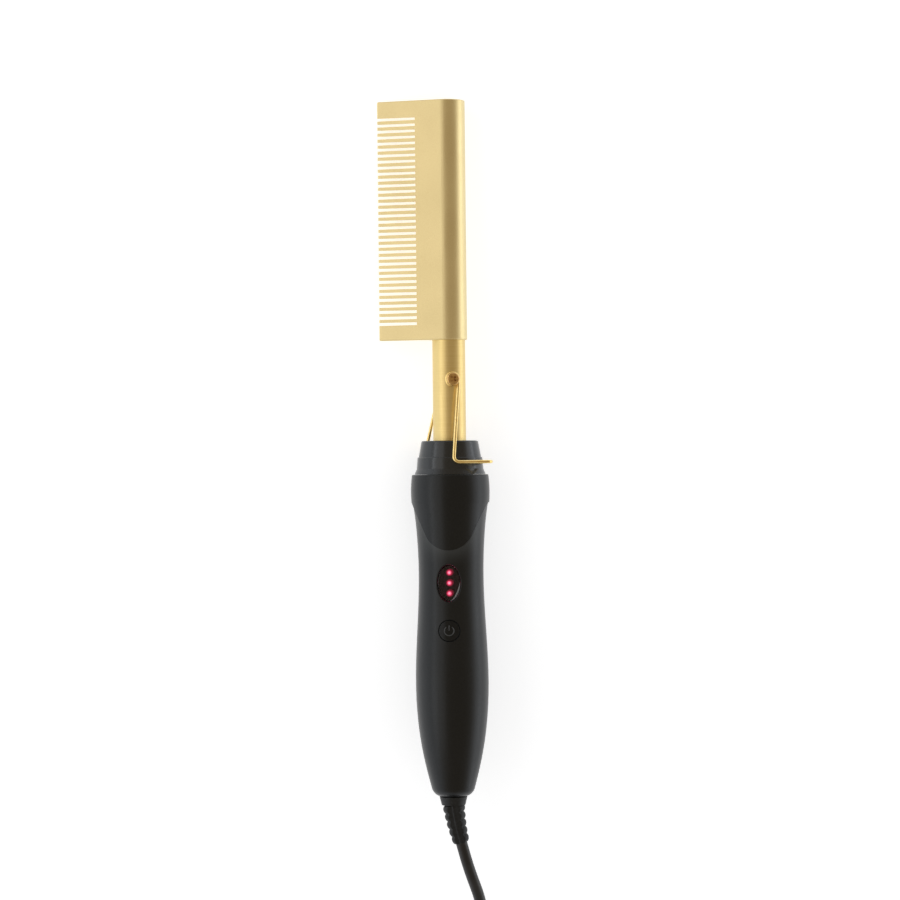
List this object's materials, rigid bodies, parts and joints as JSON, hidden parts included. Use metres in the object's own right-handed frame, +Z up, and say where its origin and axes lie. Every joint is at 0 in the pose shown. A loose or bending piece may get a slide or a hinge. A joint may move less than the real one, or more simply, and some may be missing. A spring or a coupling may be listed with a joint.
{
  "type": "electric pressing comb",
  "caption": "Electric pressing comb: slotted metal comb on a round neck, folding wire stand, black handle with window and button, and a cord with a plug.",
  "frame": {"origin": "on the table, under the middle of the lying tool's box from the comb's tip to the cord's strain relief", "axes": "+Y along the tool towards the comb's tip, +Z up from the table it lies on, teeth towards -X"},
  "size_m": [0.0509, 0.516, 0.0379],
  "materials": {
    "comb_gold": "satin, blasted and gold anodised",
    "tube_gold": "brushed, gold plated",
    "wire_gold": "bright drawn wire and turned screws",
    "bare_steel": "turned and plated, out of sight",
    "bare_aluminium": "as extruded",
    "ceramic_white": "fired, unglazed",
    "collar_black": "heat-resistant moulding, satin",
    "handle_black": "moulding with a soft matte skin",
    "window_smoke": "smoked, polished",
    "light_red": "clear red lens, lit",
    "button_black": "satin",
    "switch_black": "moulded",
    "board_green": "solder mask",
    "component_grey": "moulded",
    "wire_white": "silicone insulation",
    "boot_black": "moulded, dull",
    "cord_black": "extruded, satin",
    "tie_black": "woven strap",
    "plug_black": "moulded, satin",
    "pin_brass": "bright, nickel flashed"
  },
  "bodies": {
    "tool": {"comb_head": "comb_gold", "comb_end_plug": "comb_gold", "neck_tube": "tube_gold", "joining_spigot": "bare_steel", "tube_retainer": "bare_steel", "heater_carrier": "bare_aluminium", "heater_plates": "ceramic_white", "thermistor": "ceramic_white", "pivot_screws": "wire_gold", "heat_collar": "collar_black", "front_shell": "handle_black", "rear_shell": "handle_black", "shell_screws": "bare_steel", "window_lens": "window_smoke", "lights": "light_red", "tact_switch": "switch_black", "circuit_board": "board_green", "board_screws": "bare_steel", "board_components": "component_grey", "heater_leads": "wire_white", "mains_wires": "wire_white", "cord_run": "cord_black", "cord_hank": "cord_black", "cord_tie": "tie_black", "plug_body": "plug_black", "plug_pins": "pin_brass"},
    "stand": {"stand_wire": "wire_gold"},
    "button": {"power_button": "button_black", "switch_plunger": "switch_black"},
    "swivel": {"cord_swivel": "boot_black", "cord_boot": "boot_black"}
  },
  "joints": [
    {"name": "stand_fold", "type": "hinge", "parent": "tool", "child": "stand", "pos_m": [0.00603, 0.03969, 0.01448], "axis": [0, 0.0532, 0.9986], "range_deg": [0, 140]},
    {"name": "button_press", "type": "slide", "parent": "tool", "child": "button", "axis": [0.2517, -0.0515, -0.9664], "range_m": [0, 0.0004], "stiffness_N_per_m": 1500},
    {"name": "cord_turn", "type": "hinge", "parent": "tool", "child": "swivel", "pos_m": [0.00603, -0.13766, 0.02392], "axis": [0, -0.9986, 0.0532], "continuous": true}
  ]
}
